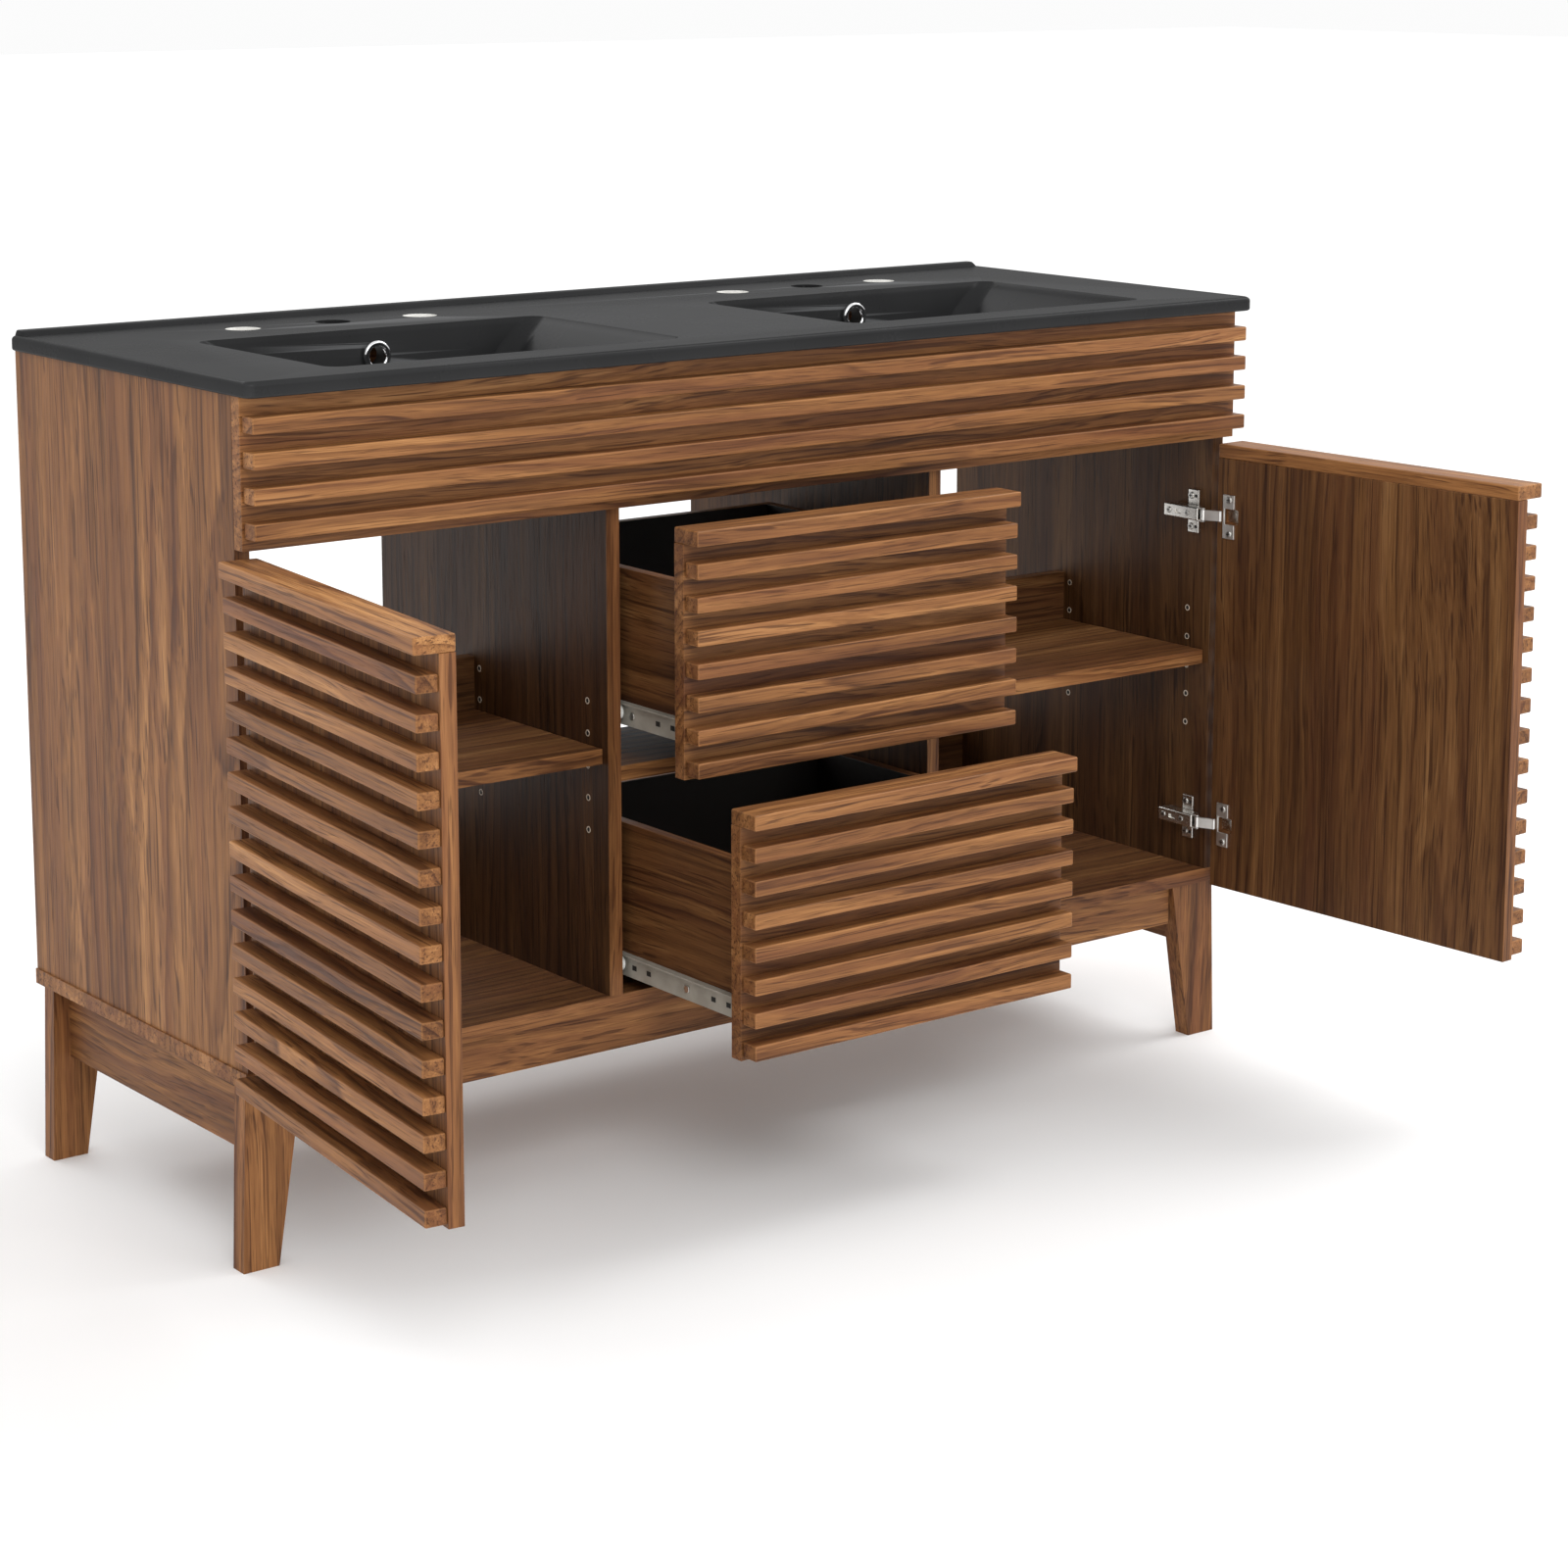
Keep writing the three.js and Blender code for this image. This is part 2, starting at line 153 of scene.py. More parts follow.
def wood(name, grain=None, offset=(0, 0, 0), tone=1.0, rough=0.47, figure=1.0, painted_shade=None):
    """Walnut-effect foil. grain 'x', 'y' or 'z' takes object space; None takes the pieces' own gc attribute.

    The last argument is (factor, [(axis, lo, hi), ...]): the faces inside that box of object space are darkened by
    factor, as painted shade on the cabinet's inner faces."""
    m = Nodes(name)
    if grain is None:
        a = m.add("ShaderNodeAttribute", attribute_name="gc")
        p = a.outputs["Vector"]
    else:
        tc = m.add("ShaderNodeTexCoord")
        sep = m.add("ShaderNodeSeparateXYZ")
        m.link(tc.outputs["Object"], sep.inputs[0])
        x, y, z = sep.outputs
        order = {"x": (x, y, z), "y": (y, x, z), "z": (z, x, y)}[grain]
        comb = m.add("ShaderNodeCombineXYZ")
        for i in range(3):
            m.link(order[i], comb.inputs[i])
        p = m.vec("ADD", comb.outputs[0], offset)
    # slow wander of the grain along the board
    warp = m.noise(m.vec("MULTIPLY", p, (1.3, 5.0, 5.0)), 1.0, 2.0, 0.5)
    warp2 = m.noise(m.vec("MULTIPLY", p, (5.0, 20.0, 20.0)), 1.0, 3.0, 0.55)
    bend = m.math("ADD", m.math("MULTIPLY", m.math("SUBTRACT", warp, 0.5), 0.075), m.math("MULTIPLY", m.math("SUBTRACT", warp2, 0.5), 0.010))
    shift = m.add("ShaderNodeCombineXYZ")
    m.link(bend, shift.inputs[1])
    m.link(m.math("MULTIPLY", bend, 0.8), shift.inputs[2])
    q = m.vec("ADD", p, shift.outputs[0])
    # growth rings about a heart that leans a little from the board's length
    sq = m.add("ShaderNodeSeparateXYZ")
    m.link(q, sq.inputs[0])
    yy = m.math("ADD", sq.outputs[1], m.math("MULTIPLY", sq.outputs[0], 0.022))
    zz = m.math("ADD", sq.outputs[2], m.math("MULTIPLY", sq.outputs[0], 0.035))
    r = m.math("SQRT", m.math("ADD", m.math("MULTIPLY", yy, yy), m.math("MULTIPLY", m.math("MULTIPLY", zz, zz), 0.7)))
    phase = m.math("FRACT", m.math("MULTIPLY", r, 88.0))
    ring = m.maprange(phase, 0.35, 0.93, 0.0, 1.0)
    fall = m.maprange(phase, 0.93, 1.0, 1.0, 0.0)
    ring = m.math("MULTIPLY", m.math("POWER", ring, 2.2), fall)
    strength = m.maprange(m.noise(m.vec("MULTIPLY", q, (1.6, 14.0, 14.0)), 1.0, 1.0, 0.5), 0.42, 0.62, 0.15, 1.0)
    broad = m.noise(m.vec("MULTIPLY", q, (0.9, 22.0, 22.0)), 1.0, 2.0, 0.55)
    mid = m.noise(m.vec("MULTIPLY", q, (2.6, 120.0, 120.0)), 1.0, 3.0, 0.6)
    fibre = m.noise(m.vec("MULTIPLY", q, (11.0, 560.0, 560.0)), 1.0, 2.0, 0.6)
    line = m.noise(m.vec("MULTIPLY", q, (4.2, 330.0, 330.0)), 1.0, 1.0, 0.5)
    lines = m.maprange(line, 0.585, 0.665, 0.0, 1.0)
    poren = m.noise(m.vec("MULTIPLY", p, (26.0, 1150.0, 1150.0)), 1.0, 1.0, 0.5)
    pores = m.maprange(poren, 0.60, 0.70, 0.0, 1.0)
    v = m.math("ADD", m.math("MULTIPLY", broad, 0.46), m.math("MULTIPLY", mid, 0.37))
    v = m.math("ADD", v, m.math("MULTIPLY", fibre, 0.25))
    v = m.math("SUBTRACT", v, m.math("MULTIPLY", m.math("MULTIPLY", ring, strength), 0.17 * figure))

    def c(r_, g_, b_):
        t = srgb(r_, g_, b_)
        return (t[0] * tone, t[1] * tone, t[2] * tone)
    col = m.ramp(v, [(0.33, c(70, 41, 22)), (0.42, c(100, 63, 35)), (0.52, c(130, 86, 49)), (0.60, c(151, 103, 60)), (0.69, c(180, 129, 80))])
    hue = m.noise(m.vec("MULTIPLY", q, (0.8, 30.0, 30.0)), 1.3, 2.0, 0.5)
    col = m.mix(m.maprange(hue, 0.44, 0.66, 0.0, 0.38), col, c(116, 68, 44), "MIX")
    col = m.mix(m.math("MULTIPLY", lines, 0.70), col, c(70, 38, 20), "MIX")
    col = m.mix(m.math("MULTIPLY", pores, 0.50), col, c(50, 27, 14), "MIX")
    # painted highlight: the bevels (edge attribute) are lightened towards pale walnut
    edge = m.add("ShaderNodeAttribute", attribute_name="edge")
    col = m.mix(m.math("MULTIPLY", edge.outputs["Fac"], 0.16), col, c(206, 150, 98), "MIX")
    # painted shade: darken the faces inside the given box
    if painted_shade:
        tc2 = m.add("ShaderNodeTexCoord")
        s2 = m.add("ShaderNodeSeparateXYZ")
        m.link(tc2.outputs["Object"], s2.inputs[0])
        mask = None
        for axis, lo, hi in painted_shade[1]:
            inside = m.math("MULTIPLY", m.math("GREATER_THAN", s2.outputs[axis], lo), m.math("LESS_THAN", s2.outputs[axis], hi))
            mask = inside if mask is None else m.math("MULTIPLY", mask, inside)
        col = m.mix(mask, col, m.mix(1.0, col, (painted_shade[0],) * 3, "MULTIPLY"))
    m.link(col, m.bsdf.inputs["Base Color"])
    m.link(m.math("ADD", m.maprange(fibre, 0.3, 0.7, rough - 0.05, rough + 0.07), m.math("MULTIPLY", pores, 0.12)), m.bsdf.inputs["Roughness"])
    h = m.math("SUBTRACT", m.math("MULTIPLY", fibre, 0.5), m.math("MULTIPLY", m.math("ADD", pores, m.math("MULTIPLY", lines, 0.5)), 0.8))
    m.link(m.bump(h, 0.35, 0.00025), m.bsdf.inputs["Normal"])
    m.bsdf.inputs["Specular IOR Level"].default_value = 0.20
    return m.mat


# near-black brown for the drawer's inside faces, its bottom and the inner face of its front
def dark_inside(name):
    m = Nodes(name)
    tc = m.add("ShaderNodeTexCoord")
    n = m.noise(m.vec("MULTIPLY", tc.outputs["Object"], (160.0, 160.0, 160.0)), 1.0, 3.0, 0.6)
    b = m.noise(tc.outputs["Object"], 6.0, 2.0, 0.5)
    col = m.ramp(m.math("ADD", m.math("MULTIPLY", n, 0.4), m.math("MULTIPLY", b, 0.6)), [(0.35, srgb(26, 21, 18)), (0.65, srgb(44, 37, 32))])
    m.link(col, m.bsdf.inputs["Base Color"])
    m.link(m.maprange(n, 0.3, 0.7, 0.5, 0.66), m.bsdf.inputs["Roughness"])
    m.link(m.bump(n, 0.25, 0.0002), m.bsdf.inputs["Normal"])
    return m.mat


def ceramic(name):
    m = Nodes(name)
    tc = m.add("ShaderNodeTexCoord")
    fine = m.noise(tc.outputs["Object"], 210.0, 3.0, 0.55)
    slow = m.noise(tc.outputs["Object"], 9.0, 3.0, 0.5)
    col = m.ramp(slow, [(0.35, (0.0165, 0.0167, 0.0172)), (0.65, (0.0190, 0.0192, 0.0198))])
    # painted highlight: convex edges of the glaze (high pointiness) are lightened towards grey
    geo = m.add("ShaderNodeNewGeometry")
    rim_highlight = m.maprange(geo.outputs["Pointiness"], 0.515, 0.60, 0.0, 1.0)
    col = m.mix(m.math("MULTIPLY", rim_highlight, 0.55, True), col, (0.16, 0.162, 0.166), "MIX")
    m.link(col, m.bsdf.inputs["Base Color"])
    m.link(m.maprange(m.math("ADD", m.math("MULTIPLY", fine, 0.15), m.math("MULTIPLY", slow, 0.85)), 0.35, 0.65, 0.25, 0.30), m.bsdf.inputs["Roughness"])
    m.link(m.bump(slow, 0.02, 0.0008), m.bsdf.inputs["Normal"])
    m.bsdf.inputs["Specular IOR Level"].default_value = 0.42
    matt = m.add("ShaderNodeBsdfDiffuse")
    m.link(col, matt.inputs["Color"])
    m.link(m.bsdf.inputs["Normal"].links[0].from_socket, matt.inputs["Normal"])
    blend = m.add("ShaderNodeMixShader")
    m.link(m.maprange(slow, 0.35, 0.65, 0.18, 0.21), blend.inputs[0])
    m.link(matt.outputs[0], blend.inputs[1])
    m.link(m.bsdf.outputs[0], blend.inputs[2])
    m.link(blend.outputs[0], m.out.inputs[0])
    return m.mat


def bisque(name):
    m = Nodes(name)
    tc = m.add("ShaderNodeTexCoord")
    n = m.noise(tc.outputs["Object"], 420.0, 4.0, 0.6)
    b = m.noise(tc.outputs["Object"], 60.0, 2.0, 0.5)
    m.link(m.ramp(b, [(0.35, srgb(232, 231, 226)), (0.65, srgb(247, 246, 242))]), m.bsdf.inputs["Base Color"])
    m.link(m.maprange(n, 0.3, 0.7, 0.6, 0.8), m.bsdf.inputs["Roughness"])
    m.link(m.bump(n, 0.3, 0.0003), m.bsdf.inputs["Normal"])
    return m.mat


def metal(name, col, rough, scratch=0.08, stretch=(1, 1, 1)):
    m = Nodes(name)
    tc = m.add("ShaderNodeTexCoord")
    n = m.noise(m.vec("MULTIPLY", tc.outputs["Object"], tuple(900.0 * s for s in stretch)), 1.0, 3.0, 0.6)
    b = m.noise(tc.outputs["Object"], 45.0, 3.0, 0.5)
    m.link(m.ramp(b, [(0.3, tuple(c * 0.86 for c in col)), (0.7, col)]), m.bsdf.inputs["Base Color"])
    m.bsdf.inputs["Metallic"].default_value = 1.0
    m.link(m.maprange(m.math("ADD", m.math("MULTIPLY", n, 0.5), m.math("MULTIPLY", b, 0.5)), 0.35, 0.65, rough, rough + scratch), m.bsdf.inputs["Roughness"])
    m.link(m.bump(n, 0.12, 0.0001), m.bsdf.inputs["Normal"])
    return m.mat


def coat(name, lo, hi, rough, scale=70.0):
    m = Nodes(name)
    tc = m.add("ShaderNodeTexCoord")
    n = m.noise(tc.outputs["Object"], scale * 6, 3.0, 0.6)
    b = m.noise(tc.outputs["Object"], scale * 0.5, 3.0, 0.5)
    m.link(m.ramp(b, [(0.35, lo), (0.65, hi)]), m.bsdf.inputs["Base Color"])
    m.link(m.maprange(n, 0.3, 0.7, rough - 0.05, rough + 0.08), m.bsdf.inputs["Roughness"])
    m.link(m.bump(n, 0.12, 0.00015), m.bsdf.inputs["Normal"])
    return m.mat


M_SLAT = wood("walnut_slats", None, tone=1.0)
M_CARC = wood("walnut_boards", None, tone=0.97)
# darker walnut copies as painted shade: the backings' back faces (0.48) and their faces behind the slats (0.75)
M_INNER_SHADE = wood("walnut_inner_faces_painted_shade", None, tone=0.48)
M_RECESS_SHADE = wood("walnut_behind_slats_painted_shade", None, tone=0.75)
# darker walnut copy as painted shade on the drawer boards' outer faces
M_DRAWER_SHADE = wood("walnut_drawer_boards_painted_shade", None, tone=0.55)
M_DARK_INSIDE = dark_inside("drawer_lining")
M_CERAMIC = ceramic("black_glaze")
M_BISQUE = bisque("unglazed_ceramic")
M_CHROME = metal("polished_chrome", (0.90, 0.90, 0.91), 0.06, 0.05)
M_NICKEL = metal("plated_steel", (0.78, 0.76, 0.72), 0.20, 0.12)
M_LINK = metal("bright_plated_steel", (0.96, 0.95, 0.92), 0.34, 0.10)
M_FLANGE = metal("satin_plated_steel", (0.92, 0.90, 0.86), 0.34, 0.12)
M_SCREW = metal("zinc_screw", (0.70, 0.69, 0.66), 0.24, 0.14)
M_SLIDE = coat("slide_enamel", srgb(150, 145, 134), srgb(170, 165, 154), 0.42)
M_ROLLER = coat("roller_plastic", srgb(236, 236, 230), srgb(246, 246, 241), 0.45)
# near-black painted shade for holes, slots, screw recesses and the overflow bore
M_DARK = coat("hole_shadow", (0.010, 0.009, 0.008), (0.018, 0.016, 0.014), 0.7)
M_PIN = coat("pin_sleeve", srgb(196, 180, 160), srgb(216, 202, 184), 0.5)


# ------------------------------------------------------------------ mesh helpers
def boolean(target, cutter, op):
    bpy.context.view_layer.update()
    mod = target.modifiers.new("b", "BOOLEAN")
    mod.operation = op
    mod.solver = "EXACT"
    mod.object = cutter
    bpy.context.view_layer.objects.active = target
    bpy.ops.object.modifier_apply(modifier=mod.name)
    bpy.data.objects.remove(cutter, do_unlink=True)


class Builder:
    """Collects bevelled boxes, cylinders and lofts, in cabinet millimetres, into one mesh."""

    def __init__(self):
        self.v, self.f, self.gc, self.edge, self.mi = [], [], [], [], []
        self.last = None

    def _take(self, bm, gfun, efun, mat):
        base = len(self.v)
        self.last = (gfun, efun)
        bm.verts.ensure_lookup_table()
        for vert in bm.verts:
            self.v.append(tuple(c / 1000 for c in vert.co))
            self.gc.append(gfun(vert.co))
            self.edge.append(efun(vert.co))
        for face in bm.faces:
            self.f.append([base + x.index for x in face.verts])
            self.mi.append(mat(face) if callable(mat) else mat)
        bm.free()

    def box(self, x0, x1, y0, y1, z0, z1, bevel=0.8, seg=2, grain="x", seed=0, mat=0, edge_highlight=1.0):
        lo = [min(x0, x1), y0, z0]
        hi = [max(x0, x1), y1, z1]
        bm = bmesh.new()
        bmesh.ops.create_cube(bm, size=1.0)
        for vert in bm.verts:
            vert.co = Vector(tuple((lo[i] + hi[i]) / 2 + vert.co[i] * (hi[i] - lo[i]) for i in range(3)))
        if bevel > 0:
            bmesh.ops.bevel(bm, geom=list(bm.edges), offset=bevel, segments=seg, profile=0.5, affect="EDGES")
        bm.verts.index_update()
        bm.normal_update()
        rnd = random.Random(seed * 7919 + 13)
        off = (rnd.uniform(-9, 9), rnd.uniform(-0.09, 0.09), rnd.choice((-1, 1)) * rnd.uniform(0.015, 0.13))
        centre = [(a + b) / 2 for a, b in zip(lo, hi)]
        order = {"x": (0, 2, 1), "y": (1, 2, 0), "z": (2, 0, 1)}[grain]

        def gfun(co):
            return tuple((co[order[i]] - centre[order[i]]) / 1000 + off[i] for i in range(3))

        # the edge attribute carries the painted edge highlight: 0 on the flat faces, the given strength on the bevels
        def efun(co):
            on = any(abs(co[i] - lo[i]) < 1e-4 or abs(co[i] - hi[i]) < 1e-4 for i in range(3))
            return 0.0 if on else edge_highlight
        self._take(bm, gfun, efun, mat)
        return self

    def cyl(self, r, length, axis, x, y, z, seg=24, bevel=0.0, bseg=2, mat=0, r2=None):
        bm = bmesh.new()
        bmesh.ops.create_cone(bm, cap_ends=True, cap_tris=False, segments=seg, radius1=r, radius2=r if r2 is None else r2, depth=length)
        if bevel > 0:
            rim = [e for e in bm.edges if all(abs(abs(vv.co.z) - length / 2) < 1e-6 for vv in e.verts)]
            bmesh.ops.bevel(bm, geom=rim, offset=bevel, segments=bseg, profile=0.5, affect="EDGES")
        rot = {"z": Matrix.Identity(4), "x": Matrix.Rotation(math.pi / 2, 4, "Y"), "y": Matrix.Rotation(-math.pi / 2, 4, "X")}[axis]
        bmesh.ops.transform(bm, matrix=Matrix.Translation((x, y, z)) @ rot, verts=bm.verts)
        bm.verts.index_update()
        bm.normal_update()
        self._take(bm, lambda co: tuple(c / 1000 for c in co), lambda co: 0.0, mat)
        return self

    def prism(self, outline, y0, y1, bevel=0.8, seg=2, seed=0, grain="z", mat=0, edge_highlight=1.0):
        """outline in X,Z, extruded along Y."""
        bm = bmesh.new()
        vs = [bm.verts.new((x, y0, z)) for x, z in outline]
        face = bm.faces.new(vs)
        ext = bmesh.ops.extrude_face_region(bm, geom=[face])
        for e in ext["geom"]:
            if isinstance(e, bmesh.types.BMVert):
                e.co.y = y1
        bmesh.ops.recalc_face_normals(bm, faces=bm.faces)
        if bevel > 0:
            bmesh.ops.bevel(bm, geom=list(bm.edges), offset=bevel, segments=seg, profile=0.5, affect="EDGES")
        bm.verts.index_update()
        rnd = random.Random(seed * 7919 + 13)
        off = (rnd.uniform(-9, 9), rnd.uniform(-0.09, 0.09), rnd.choice((-1, 1)) * rnd.uniform(0.02, 0.12))
        order = {"x": (0, 2, 1), "y": (1, 2, 0), "z": (2, 0, 1)}[grain]
        self._take(bm, lambda co: tuple(co[order[i]] / 1000 * (1 if i == 0 else 1) + off[i] - (0.59 * (1 if co.x > 0 else -1) if order[i] == 0 else 0) for i in range(3)), lambda co: 0.0, mat)
        return self

    def ring(self, r_out, r_in, y0, y1, x, z, seg=40, fillet=0.6, axis="y", mat=0):
        """A turned ring about an axis along Y or Z, with rounded rims."""
        prof = []
        for cx, cy, a0 in ((r_out - fillet, y1 - fillet, 0), (r_in + fillet, y1 - fillet, 90), (r_in + fillet, y0 + fillet, 180), (r_out - fillet, y0 + fillet, 270)):
            for i in range(4):
                a = math.radians(a0 + 30 * i)
                prof.append((cx + fillet * math.cos(a), cy + fillet * math.sin(a)))
        bm = bmesh.new()
        loops = []
        for k in range(seg):
            a = 2 * math.pi * k / seg
            row = []
            for pr, ph in prof:
                if axis == "y":
                    row.append(bm.verts.new((x + pr * math.cos(a), ph, z + pr * math.sin(a))))
                else:
                    row.append(bm.verts.new((x + pr * math.cos(a), z + pr * math.sin(a), ph)))
            loops.append(row)
        n = len(prof)
        for k in range(seg):
            for i in range(n):
                bm.faces.new((loops[k][i], loops[(k + 1) % seg][i], loops[(k + 1) % seg][(i + 1) % n], loops[k][(i + 1) % n]))
        bmesh.ops.recalc_face_normals(bm, faces=bm.faces)
        bm.verts.index_update()
        self._take(bm, lambda co: tuple(c / 1000 for c in co), lambda co: 0.0, mat)
        return self

    def cutter(self, matrix=None):
        me = bpy.data.meshes.new("cutter")
        me.from_pydata(self.v, [], self.f)
        o = bpy.data.objects.new("cutter", me)
        bpy.context.scene.collection.objects.link(o)
        if matrix is not None:
            o.matrix_world = matrix
        return o

    def make(self, name, mats, body, matrix=None, slot=None, replaces=(), smooth=True, weighted=True, cuts=()):
        me = bpy.data.meshes.new(name)
        me.from_pydata(self.v, [], self.f)
        a = me.attributes.new("gc", "FLOAT_VECTOR", "POINT")
        a.data.foreach_set("vector", [c for g in self.gc for c in g])
        e = me.attributes.new("edge", "FLOAT", "POINT")
        e.data.foreach_set("value", self.edge)
        for m in mats if isinstance(mats, (list, tuple)) else [mats]:
            me.materials.append(m)
        me.polygons.foreach_set("material_index", self.mi)
        if smooth:
            me.polygons.foreach_set("use_smooth", [True] * len(me.polygons))
        me.update()
        o = bpy.data.objects.new(name, me)
        bpy.context.scene.collection.objects.link(o)
        o.matrix_world = at() if matrix is None else matrix
        for c in cuts:
            boolean(o, c.cutter(at() if matrix is None else matrix), "DIFFERENCE")
        if cuts:
            o.data.set_sharp_from_angle(angle=math.radians(50))
            for i, vert in enumerate(o.data.vertices):
                o.data.attributes["gc"].data[i].vector = self.last[0](vert.co * 1000)
                o.data.attributes["edge"].data[i].value = 0.0
        if smooth and weighted:
            w = o.modifiers.new("weighted", "WEIGHTED_NORMAL")
            w.weight = 60
            w.keep_sharp = True
        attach(o, body)
        if replaces:
            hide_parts(*replaces)
        return o


# ------------------------------------------------------------------ CAD boards that stay
def dress(node, mat, bevel=0.8, seg=2, smooth=True):
    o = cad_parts[node]
    o.data.materials.clear()
    o.data.materials.append(mat)
    if bevel:
        b = o.modifiers.new("edge", "BEVEL")
        b.width = bevel / 1000
        b.segments = seg
        b.limit_method = "ANGLE"
        b.angle_limit = math.radians(40)
        b.harden_normals = False
    if smooth:
        w = o.modifiers.new("weighted", "WEIGHTED_NORMAL")
        w.weight = 60
    return o


GRAIN = {
    "left_side_panel": ("z", (0.31, 0.045, 0.020), 0.86, 1.0),
    "right_side_panel": ("z", (4.2, 0.61, 0.05), 0.95, 1.0),
    "bottom_panel": ("x", (1.9, 0.33, -0.11), 0.95, 1.0),
    "left_divider": ("z", (2.6, 0.27, 0.03), 0.95, 1.0),
    "right_divider": ("z", (7.1, -0.15, 0.07), 0.95, 1.0),
    "left_shelf": ("x", (5.3, 0.12, -0.37), 0.95, 1.0),
    "right_shelf": ("x", (8.8, 0.31, -0.35), 0.95, 1.0),
    "left_back_rail": ("x", (3.3, -0.37, -0.46), 0.9, 1.0),
    "lower_back_board": ("x", (6.3, -0.42, -0.42), 0.9, 1.0),
    "right_back_rail": ("x", (9.3, -0.40, -0.49), 0.9, 1.0),
    "top_back_rail": ("x", (1.3, -0.35, -0.70), 0.9, 1.0),
    "drawer_rail": ("x", (2.2, 0.04, -0.36), 0.95, 1.0),
    "left_base_rail": ("y", (0.4, 0.60, -0.12), 0.86, 1.0),
    "right_base_rail": ("y", (3.9, -0.57, -0.12), 0.86, 1.0),
    "front_base_rail": ("x", (6.6, 0.03, -0.14), 0.97, 1.0),
    "back_base_rail": ("x", (8.1, -0.36, -0.17), 0.97, 1.0),
}
BIG = 99.0
FRONT = (37.5 + OY + 0.9) / 1000          # behind the boards' front edges
# painted shade on the inner faces of the carcass boards: factor and box per board
PAINTED_SHADE = {
    "left_divider": (0.34, [(1, FRONT, BIG)]),
    "right_divider": (0.40, [(1, FRONT, BIG)]),
    "right_side_panel": (0.33, [(0, 0.0, (604.3 + OX) / 1000)]),
    "left_side_panel": (0.42, [(0, (-604.3 + OX) / 1000, BIG), (1, FRONT, BIG)]),
    "bottom_panel": (0.72, [(1, FRONT, BIG), (2, 0.1893, BIG), (0, (-604 + OX) / 1000, (604 + OX) / 1000)]),
    "left_back_rail": (0.5, [(1, -BIG, 0.4175)]), "lower_back_board": (0.6, [(1, -BIG, 0.4175)]),
    "right_back_rail": (0.6, [(1, -BIG, 0.4175)]), "top_back_rail": (0.5, [(1, -BIG, 0.4175)]),
    "right_shelf": (0.95, [(1, FRONT + 0.0085, BIG)]), "left_shelf": (0.85, [(1, FRONT + 0.0085, BIG)]),
}
for node, (g, off, tone, fig) in GRAIN.items():
    dress(node, wood("walnut_" + node, g, off, tone=tone, figure=fig, painted_shade=PAINTED_SHADE.get(node)), 0.7)
for i, node in enumerate(("left_front_leg", "right_front_leg", "left_back_leg", "right_back_leg")):
    sx = 0.585 if "left" in node else -0.605
    dress(node, wood("walnut_" + node, "z", (2.3 * i + 0.4, sx, 0.055 + 0.02 * i), tone=1.0), 0.9)

# ------------------------------------------------------------------ slatted fronts
def slatted(prefix, body, matrix, x0, x1, top, count, bottom, node, seed, vertical=True, cuts=()):
    # the backing's back face and its face behind the slats take the painted-shade walnut copies
    Builder().box(x0, x1, 20.5, 35.5, bottom, top - T, 0.7, 2, "z" if vertical else "x", seed, edge_highlight=0.5,
                  mat=lambda f: 1 if f.normal.y > 0.7 else (2 if f.normal.y < -0.7 else 0)).make(
        prefix + "_backing", [M_CARC, M_INNER_SHADE, M_RECESS_SHADE], body, matrix, "walnut", [node], cuts=cuts)
    Builder().box(x0, x1, -2, 35.5, top - T, top, 1.7, 3, "x", seed + 1).make(prefix + "_cap", M_SLAT, body, matrix, "walnut")
    for k in range(1, count + 1):
        z1 = top - k * PITCH
        Builder().box(x0 + 2, x1 - 2, 0.5, 20.6, z1 - SLAT_H, z1, 1.6, 3, "x", seed + 1 + k).make(
            f"{prefix}_slat_{k:02d}", M_SLAT, body, matrix, "walnut")


for side, sg, seed in (("left", -1, 100), ("right", 1, 200)):
    pockets = [Builder().box(sg * 572.9, sg * 596.8, 24.2, 40, z - 8.4, z + 8.4, 2.0, 3) for z in HINGE_Z]
    slatted(side + "_door", side + "_door", door_matrix(side), min(sg * 603, sg * 201), max(sg * 603, sg * 201), 665, 15, 174, side + "_door", seed, cuts=pockets)
slatted("upper_drawer_front", "upper_drawer", at(0, -UPPER_OUT), -198, 198, 665, 7, 425.5, "upper_drawer_front", 300, False)
slatted("lower_drawer_front", "lower_drawer", at(0, -LOWER_OUT), -198, 198, 413, 7, 174, "lower_drawer_front", 400, False)

Builder().box(-605, 605, 22.5, 37.5, 672, 810, 0.7, 2, "x", 500, edge_highlight=0.5).make("fascia_backing", M_CARC, "cabinet", None, "walnut", ["fascia_panel"])
for k in range(4):
    z1 = 793 - k * PITCH
    Builder().box(-603, 603, 2.5, 22.6, z1 - SLAT_H, z1, 1.6, 3, "x", 510 + k).make(f"fascia_slat_{k + 1}", M_SLAT, "cabinet", None, "walnut")

